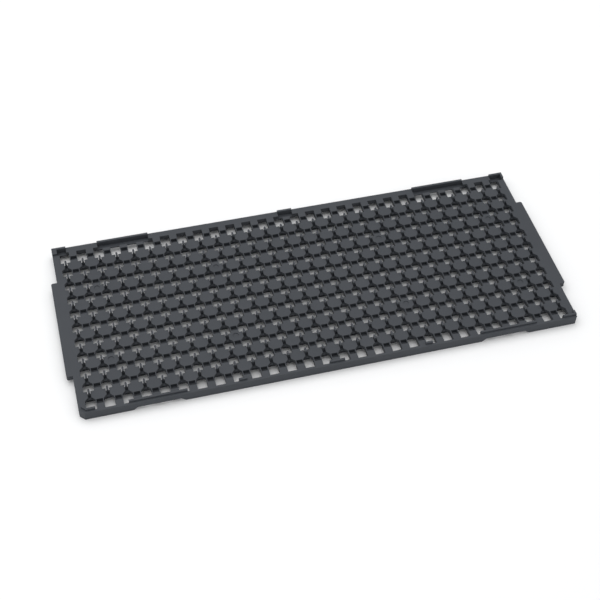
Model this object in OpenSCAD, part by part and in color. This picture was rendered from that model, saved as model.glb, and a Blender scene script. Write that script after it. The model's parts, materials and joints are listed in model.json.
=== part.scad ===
// Stacking matrix tray for small leaded devices, one moulded piece.
// Millimetres. Origin: centre of the footprint, on the floor. X runs along the tray, Z is up.

/* [Outline] */
// Length of the body along X, without the end tabs
body_length = 315; // [300:0.5:330]
// Width of the body along Y
body_width = 135.9; // [134:0.1:140]
// Height of the deck the next tray rests on
deck_height = 6.35; // [6:0.05:7]
// Height of the stacking lips above the deck
lip_height = 1.27; // [0.8:0.01:1.6]
// Leg of the cut corner that marks position one
key_corner = 3; // [2:0.1:5]
// Thickness of the skirt wall around the edge
skirt_thickness = 1.5; // [1.2:0.1:1.8]

/* [Grid] */
// Number of pocket columns along X
columns = 28; // [20:1:28]
// Number of pocket rows along Y
rows = 11; // [8:1:11]
// Distance between pocket columns
column_pitch = 11.1; // [10.9:0.01:11.2]
// Distance between pocket rows
row_pitch = 11.87; // [11.7:0.01:11.9]
// Shift of the whole grid toward the front edge
grid_shift = 1.64; // [1.4:0.02:1.8]

/* [Pocket] */
// Width of a pocket window along X
window_width = 6.2; // [5.6:0.1:6.6]
// Window edge in front of the pocket centre
window_front = 3.55; // [3.2:0.05:3.9]
// Window edge behind the pocket centre, at the foot of the cross wall
window_back = 5.2; // [4.9:0.05:5.4]
// Width of the slot between two lands along X
slot_width = 2; // [1.6:0.1:2.4]
// Width of the well between two lands along Y
well_width = 3.3; // [3:0.1:3.6]
// Depth of the well below the deck
well_depth = 2.4; // [2.2:0.1:2.8]
// Thickness of the thin wall between a well and the window beside it
well_wall = 0.5; // [0.4:0.05:0.8]
// Thickness of the web under the wells and lead shelves
web_thickness = 0.8; // [0.6:0.1:1]
// Front edge of the lead shelf behind the pocket centre
shelf_front = 3.9; // [3.8:0.05:4.3]
// Back edge of the lead shelf behind the pocket centre
shelf_back = 5.95; // [5.6:0.05:6.2]

/* [Locating post] */
// Width of the post
post_width = 1.3; // [1:0.1:1.6]
// How far the nose stands in front of the pocket centre
post_nose = 2.65; // [2.4:0.05:2.9]

/* [End tabs] */
// How far each tab stands out from the body
tab_reach = 3.8; // [3:0.1:4.5]
// Width of a tab along Y
tab_width = 77; // [70:0.5:84]
// Thickness of a tab
tab_thickness = 3.6; // [3:0.1:4.2]

/* [Ejector marks] */
// Diameter of the round ejector marks
mark_diameter = 3.8; // [3:0.1:4.5]
// Depth of the round ejector marks
mark_depth = 0.4; // [0.2:0.05:0.6]

/* [Hidden] */
$fn = 48;
over = 1;
half_x = body_length / 2;
half_y = body_width / 2;
tray_top = deck_height + lip_height;
well_z = deck_height - well_depth;
shelf_under = well_z - web_thickness;
last_window_back = 5.8;
wall_foot = 0.4;
rib_foot = 1.65;
rib_width = 1.2;
chamfer = window_width / 2 - slot_width / 2;
half_window = window_width / 2;
half_slot = slot_width / 2;
half_well = well_width / 2;
small_corner = 0.6;
lip_thickness = 1.3;
lip_front = -half_y + skirt_thickness;
post_foot = row_pitch - shelf_back;
notch_height = 2.3;
notch_slant = 3;

function pocket_x(c) = (c - (columns - 1) / 2) * column_pitch;
function pocket_y(r) = (r - (rows - 1) / 2) * row_pitch - grid_shift;

// Front lips, each from one X to another, and the matching ones at the back
front_lips = [[-127.9, -92.6], [-61.2, -56.2], [-4.6, 5], [57, 61.6], [93.2, 130]];
back_lips = [[-127.7, -93.8], [-4.9, 5], [91.2, 128]];
mark_columns = [-12, -5, 5, 12];
mark_rows = [-2.5, 2.5];

// Outline of the body in plan, with the large key corner at front left
module body_plan(inset = 0) {
    x = half_x - inset;
    y = half_y - inset;
    k = key_corner - inset * 0.59;
    s = max(small_corner - inset * 0.59, 0.05);
    polygon([
        [-x + k, -y], [x - s, -y], [x, -y + s], [x, y - s],
        [x - s, y], [-x + s, y], [-x, y - s], [-x, -y + k]
    ]);
}

// Front and back edge of the window in a row
function window_near(r) = r == 0 ? -half_y + skirt_thickness : pocket_y(r) - window_front;
function window_far(r) = r == rows - 1 ? pocket_y(r) + last_window_back : pocket_y(r) + shelf_front;

// One row of a column opening along one side, from the window's front edge to the next slot
function side_points(c, r, s) = [
    [pocket_x(c) + s * half_window, window_near(r)],
    [pocket_x(c) + s * half_window, r == rows - 1 ? window_far(r) : pocket_y(r) + half_well],
    if (r < rows - 1) [pocket_x(c) + s * half_slot, pocket_y(r) + half_well + chamfer],
    if (r < rows - 1) [pocket_x(c) + s * half_slot, window_near(r + 1)]
];

function run(c, s) = [for (r = [0 : rows - 1]) each side_points(c, r, s)];
function backward(list) = [for (i = [len(list) - 1 : -1 : 0]) list[i]];

// Continuous opening of one column: windows joined by the slots between the lands
module column_plan(c) {
    polygon(concat(run(c, 1), backward(run(c, -1))));
}

// Rectangle given by its two X and its two Y limits
module block_plan(x0, x1, y0, y1) {
    translate([x0, y0])
        square([x1 - x0, y1 - y0]);
}

// Flat layer between two heights
module layer(z0, z1) {
    translate([0, 0, z0])
        linear_extrude(height = z1 - z0)
            children();
}

// Wells between the lands
module well_plan() {
    for (r = [0 : rows - 1])
        for (c = [0 : columns - 2])
            block_plan(
                pocket_x(c) + half_window + well_wall, pocket_x(c + 1) - half_window - well_wall,
                pocket_y(r) - half_well, pocket_y(r) + half_well
            );
}

// Troughs behind the back lips, where the lips of the tray above drop in
module trough_plan() {
    y0 = half_y - 6;
    y1 = half_y - skirt_thickness;
    for (span = back_lips)
        block_plan(span[0], span[1], y0, y1);
    block_plan(-half_x + 3.2, -148.3, y0, y1);
    block_plan(148.2, half_x - 1.4, y0, y1);
}

// Plan of one post, its nose toward the pocket behind it
module post_plan(width) {
    w = width / 2;
    tip = w * 0.45;
    slope = (w - tip) * 2;
    polygon([
        [-w, -post_foot], [w, -post_foot], [w, -post_nose - slope], [tip, -post_nose],
        [-tip, -post_nose], [-w, -post_nose - slope]
    ]);
}

// All the posts, one in each slot
module post_plans() {
    for (r = [1 : rows - 1])
        for (c = [0 : columns - 1])
            translate([pocket_x(c), pocket_y(r)])
                post_plan(post_width);
}

// Skirt wall all round the edge
module skirt() {
    layer(0, shelf_under)
        difference() {
            body_plan();
            body_plan(skirt_thickness);
        }
}

// Thin web that closes the wells and carries the lead shelves, pierced by the windows
module web() {
    layer(shelf_under, well_z)
        difference() {
            body_plan();
            for (r = [0 : rows - 1])
                for (c = [0 : columns - 1])
                    block_plan(
                        pocket_x(c) - half_window, pocket_x(c) + half_window,
                        window_near(r), window_far(r)
                    );
        }
}

// Lands around the pockets
module lands() {
    layer(well_z, deck_height)
        difference() {
            body_plan();
            for (c = [0 : columns - 1])
                column_plan(c);
            well_plan();
            trough_plan();
        }
}

// Locating posts, up to the height of the lips
module posts() {
    layer(well_z, tray_top)
        post_plans();
}

// Cross walls along X and ribs along Y under the web
module under_ribs() {
    reach_x = half_x - skirt_thickness / 2;
    reach_y = half_y - skirt_thickness / 2;
    layer(wall_foot, shelf_under)
        for (r = [0 : rows - 2])
            block_plan(-reach_x, reach_x, pocket_y(r) + window_back, pocket_y(r) + shelf_back);
    layer(rib_foot, shelf_under)
        for (k = [3 : 4 : columns - 3]) {
            mid = pocket_x(k) + column_pitch / 2;
            block_plan(mid - rib_width / 2, mid + rib_width / 2, -reach_y, reach_y);
        }
}

// Stacking lips, set in from the front edge and flush at the back edge
module lips() {
    inner = lip_front + lip_thickness;
    layer(shelf_under, tray_top)
        union() {
            for (span = front_lips)
                block_plan(span[0], span[1], lip_front, inner);
            polygon([
                [-147.7, lip_front], [-half_x + 4.3, lip_front], [-half_x + 1.6, lip_front + 2.7],
                [-half_x + 2.5, lip_front + 3.65], [-half_x + 4.9, inner], [-147.7, inner]
            ]);
            block_plan(148.5, half_x, lip_front, inner);
            block_plan(half_x - 1.4, half_x, lip_front, lip_front + 3.55);
            for (span = back_lips)
                block_plan(span[0], span[1], half_y - skirt_thickness, half_y);
            block_plan(-half_x, -148.3, half_y - skirt_thickness, half_y);
            block_plan(-half_x, -half_x + 3.2, half_y - 5.5, half_y);
            block_plan(148.2, half_x, half_y - skirt_thickness, half_y);
            block_plan(half_x - 1.4, half_x, half_y - 5, half_y);
        }
}

// Handling tab at each end
module tabs() {
    for (side = [-1, 1])
        translate([side * (half_x + tab_reach / 2 - 1), -0.4, 0])
            layer(deck_height - tab_thickness, deck_height)
                tab_plan();
}

module tab_plan() {
    w = tab_reach + 2;
    r = 1.2;
    union() {
        square([w - 2 * r, tab_width], center = true);
        square([w, tab_width - 2 * r], center = true);
        for (x = [-1, 1])
            for (y = [-1, 1])
                translate([x * (w / 2 - r), y * (tab_width / 2 - r)])
                    circle(r = r);
    }
}

// Round ejector marks on eight of the lands
module marks() {
    for (x = mark_columns)
        for (y = mark_rows)
            translate([x * column_pitch, y * row_pitch - grid_shift, deck_height - mark_depth])
                cylinder(d = mark_diameter, h = over);
}

// Finger notches in the foot of the front and back skirt
module foot_notches() {
    for (side = [-1, 1])
        translate([side * 110, 0, 0])
            rotate([90, 0, 0])
                linear_extrude(height = body_width + 2 * over, center = true)
                    polygon([
                        [-16, -over], [16, -over], [16, 0],
                        [16 - notch_slant, notch_height], [-16 + notch_slant, notch_height], [-16, 0]
                    ]);
}

module foot_cut() {
    difference() {
        foot_notches();
        cube([body_length, body_width - 2 * skirt_thickness - 0.2, 4 * notch_height], center = true);
    }
}

// The whole tray, one solid
module matrix_tray() {
    color([0.06, 0.065, 0.07])
        difference() {
            union() {
                skirt();
                web();
                lands();
                posts();
                under_ribs();
                lips();
                tabs();
            }
            marks();
            foot_cut();
        }
}

matrix_tray();
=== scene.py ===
"""Dress a moulded matrix tray in its finish and stage it on a plain pale floor.

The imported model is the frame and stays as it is: the tray is one moulded piece,
so the work here is its plastic, the floor, the light and the camera.
"""

from __future__ import annotations

import json
import logging
import math
from dataclasses import dataclass, field

import bpy
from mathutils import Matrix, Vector

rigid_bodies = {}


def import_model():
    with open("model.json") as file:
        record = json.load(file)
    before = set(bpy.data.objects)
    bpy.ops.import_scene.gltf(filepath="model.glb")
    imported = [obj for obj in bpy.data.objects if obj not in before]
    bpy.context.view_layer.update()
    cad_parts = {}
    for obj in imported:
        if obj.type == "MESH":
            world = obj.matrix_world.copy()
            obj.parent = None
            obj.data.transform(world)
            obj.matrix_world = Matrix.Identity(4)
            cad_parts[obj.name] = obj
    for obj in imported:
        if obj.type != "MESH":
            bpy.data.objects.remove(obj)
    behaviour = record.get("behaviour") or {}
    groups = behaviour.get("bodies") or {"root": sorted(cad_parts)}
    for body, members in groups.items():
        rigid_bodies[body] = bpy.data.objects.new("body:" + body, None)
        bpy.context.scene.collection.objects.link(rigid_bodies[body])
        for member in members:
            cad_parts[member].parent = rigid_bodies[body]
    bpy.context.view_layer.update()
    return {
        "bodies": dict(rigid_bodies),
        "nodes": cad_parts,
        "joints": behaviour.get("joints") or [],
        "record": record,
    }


LOG = logging.getLogger("matrix_tray")
MILLIMETRE = 0.001


class Sockets:
    """Small helper that writes node links as expressions."""

    def __init__(self, material: bpy.types.Material) -> None:
        """Empty the material's node tree.

        Args:
            material: The material to build.
        """
        material.use_nodes = True
        self.tree = material.node_tree
        self.tree.nodes.clear()

    def node(self, kind: str, **settings: object) -> bpy.types.Node:
        """Add a node and set its plain properties.

        Args:
            kind: The node's type name.
            **settings: Properties by name.

        Returns:
            The new node.
        """
        made = self.tree.nodes.new(kind)
        for name, value in settings.items():
            setattr(made, name, value)
        return made

    def feed(self, socket: bpy.types.NodeSocket, value: object) -> None:
        """Link an output to a socket, or set the socket's own value.

        Args:
            socket: The input to feed.
            value: An output socket, a number or a colour.
        """
        if isinstance(value, bpy.types.NodeSocket):
            self.tree.links.new(value, socket)
        else:
            socket.default_value = value

    def math(self, operation: str, *values: object) -> bpy.types.NodeSocket:
        """Join values with a Math node.

        Args:
            operation: The node's operation.
            *values: Its inputs in order.

        Returns:
            The result.
        """
        made = self.node("ShaderNodeMath", operation=operation)
        for place, value in enumerate(values):
            self.feed(made.inputs[place], value)
        return made.outputs[0]

    def noise(self, scale: float, detail: float) -> bpy.types.NodeSocket:
        """Noise laid out on the object's own coordinates.

        Args:
            scale: Waves to the metre.
            detail: Number of finer layers.

        Returns:
            The noise factor.
        """
        place = self.node("ShaderNodeTexCoord").outputs["Object"]
        made = self.node("ShaderNodeTexNoise")
        self.feed(made.inputs["Vector"], place)
        self.feed(made.inputs["Scale"], scale)
        self.feed(made.inputs["Detail"], detail)
        return made.outputs["Fac"]

    def blend(self, factor: object, low: object, high: object) -> bpy.types.NodeSocket:
        """Mix two colours.

        Args:
            factor: Share of the second colour.
            low: First colour.
            high: Second colour.

        Returns:
            The mixed colour.
        """
        made = self.node("ShaderNodeMix", data_type="RGBA")
        self.feed(made.inputs["Factor"], factor)
        self.feed(made.inputs["A"], low)
        self.feed(made.inputs["B"], high)
        return made.outputs["Result"]


@dataclass(frozen=True)
class MouldedPlastic:
    """Matt black carbon-filled plastic with a fine moulded grain."""

    dark: tuple[float, float, float, float] = (0.037, 0.042, 0.050, 1.0)
    light: tuple[float, float, float, float] = (0.049, 0.054, 0.063, 1.0)
    roughness: float = 0.62
    roughness_swing: float = 0.12
    grain_scale: float = 2600.0
    flow_scale: float = 45.0
    grain_height: float = 0.00003
    grain_strength: float = 0.35
    grain_layers: float = 3.0
    flow_layers: float = 2.0
    specular_level: float = 0.4

    def make(self) -> bpy.types.Material:
        """Build the finish.

        Returns:
            The material.
        """
        material = bpy.data.materials.new("tray_plastic")
        sockets = Sockets(material)
        grain = sockets.noise(self.grain_scale, self.grain_layers)
        flow = sockets.noise(self.flow_scale, self.flow_layers)
        shader = sockets.node("ShaderNodeBsdfPrincipled")
        sockets.feed(shader.inputs["Base Color"], sockets.blend(flow, self.dark, self.light))
        swing = sockets.math("MULTIPLY_ADD", grain, self.roughness_swing, self.roughness)
        sockets.feed(shader.inputs["Roughness"], swing)
        bump = sockets.node("ShaderNodeBump")
        sockets.feed(bump.inputs["Strength"], self.grain_strength)
        sockets.feed(bump.inputs["Distance"], self.grain_height)
        sockets.feed(bump.inputs["Height"], grain)
        sockets.feed(shader.inputs["Normal"], bump.outputs["Normal"])
        sockets.feed(shader.inputs["Specular IOR Level"], self.specular_level)
        out = sockets.node("ShaderNodeOutputMaterial")
        sockets.feed(out.inputs["Surface"], shader.outputs[0])
        return material


@dataclass(frozen=True)
class PaleFloor:
    """Near white matt floor that carries soft shadows."""

    colour: tuple[float, float, float, float] = (0.93, 0.935, 0.94, 1.0)
    roughness: float = 0.9

    def make(self) -> bpy.types.Material:
        """Build the finish.

        Returns:
            The material.
        """
        material = bpy.data.materials.new("pale_floor")
        sockets = Sockets(material)
        shader = sockets.node("ShaderNodeBsdfPrincipled")
        sockets.feed(shader.inputs["Base Color"], self.colour)
        sockets.feed(shader.inputs["Roughness"], self.roughness)
        out = sockets.node("ShaderNodeOutputMaterial")
        sockets.feed(out.inputs["Surface"], shader.outputs[0])
        return material


@dataclass
class MatrixTray:
    """The one moulded piece, taken from the frame as it is."""

    node: str = "matrix_tray"
    finish: MouldedPlastic = field(default_factory=MouldedPlastic)

    def dress(self, frame: dict) -> None:
        """Put the plastic on the tray.
        """
        tray = frame["nodes"][self.node]
        tray.data.materials.clear()
        tray.data.materials.append(self.finish.make())
        LOG.info("dressed %s with %d faces", self.node, len(tray.data.polygons))


@dataclass
class Studio:
    """Plain floor, soft light from above and an even pale world."""

    floor_size: float = 6.0
    floor_drop: float = 0.00005
    world_strength: float = 0.78
    overhead_power: float = 9.0
    overhead_size: float = 1.6
    overhead_place: tuple[float, float, float] = (-0.25, 0.35, 1.3)
    finish: PaleFloor = field(default_factory=PaleFloor)

    def lay_floor(self) -> None:
        """Lay the floor just under the tray's foot."""
        bpy.ops.object.select_all(action="DESELECT")
        bpy.ops.mesh.primitive_plane_add(size=self.floor_size, location=(0, 0, -self.floor_drop))
        floor = bpy.context.object
        floor.name = "floor"
        floor.data.materials.append(self.finish.make())

    def light_world(self) -> None:
        """Give an even pale surround."""
        world = bpy.data.worlds.new("studio")
        bpy.context.scene.world = world
        world.use_nodes = True
        tree = world.node_tree
        tree.nodes.clear()
        light = tree.nodes.new("ShaderNodeBackground")
        light.inputs["Color"].default_value = (1.0, 1.0, 1.0, 1.0)
        light.inputs["Strength"].default_value = self.world_strength
        out = tree.nodes.new("ShaderNodeOutputWorld")
        tree.links.new(light.outputs[0], out.inputs["Surface"])

    def hang_lamp(self) -> None:
        """Hang one broad soft lamp over the back of the tray."""
        place = Vector(self.overhead_place)
        lamp_data = bpy.data.lights.new("overhead", type="AREA")
        lamp_data.shape = "DISK"
        lamp_data.size = self.overhead_size
        lamp_data.energy = self.overhead_power
        lamp = bpy.data.objects.new("overhead", lamp_data)
        bpy.context.scene.collection.objects.link(lamp)
        lamp.location = place
        lamp.rotation_euler = (-place).to_track_quat("-Z", "Y").to_euler()

    def build(self) -> None:
        """Set up the whole stage."""
        self.lay_floor()
        self.light_world()
        self.hang_lamp()


@dataclass(frozen=True)
class Viewpoint:
    """Camera high in front of the tray and to its left, looking down on it."""

    place_mm: tuple[float, float, float] = (-144.7, -490.4, 578.4)
    tilt_deg: tuple[float, float, float] = (40.94, -1.05, -14.59)
    lens_mm: float = 71.36
    sensor_mm: float = 36.0
    nearest_m: float = 0.01

    def set_up(self) -> None:
        """Create the camera and make it the scene's own."""
        data = bpy.data.cameras.new("viewpoint")
        data.lens = self.lens_mm
        data.sensor_width = self.sensor_mm
        data.clip_start = self.nearest_m
        camera = bpy.data.objects.new("viewpoint", data)
        bpy.context.scene.collection.objects.link(camera)
        camera.location = [value * MILLIMETRE for value in self.place_mm]
        camera.rotation_euler = [math.radians(angle) for angle in self.tilt_deg]
        bpy.context.scene.camera = camera


def main() -> None:
    """Load the frame, dress the tray, and set the stage and camera."""
    logging.basicConfig(level=logging.INFO)
    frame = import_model()
    MatrixTray().dress(frame)
    Studio().build()
    Viewpoint().set_up()
    bpy.context.scene.view_settings.view_transform = "Standard"


if __name__ == "__main__":
    main()
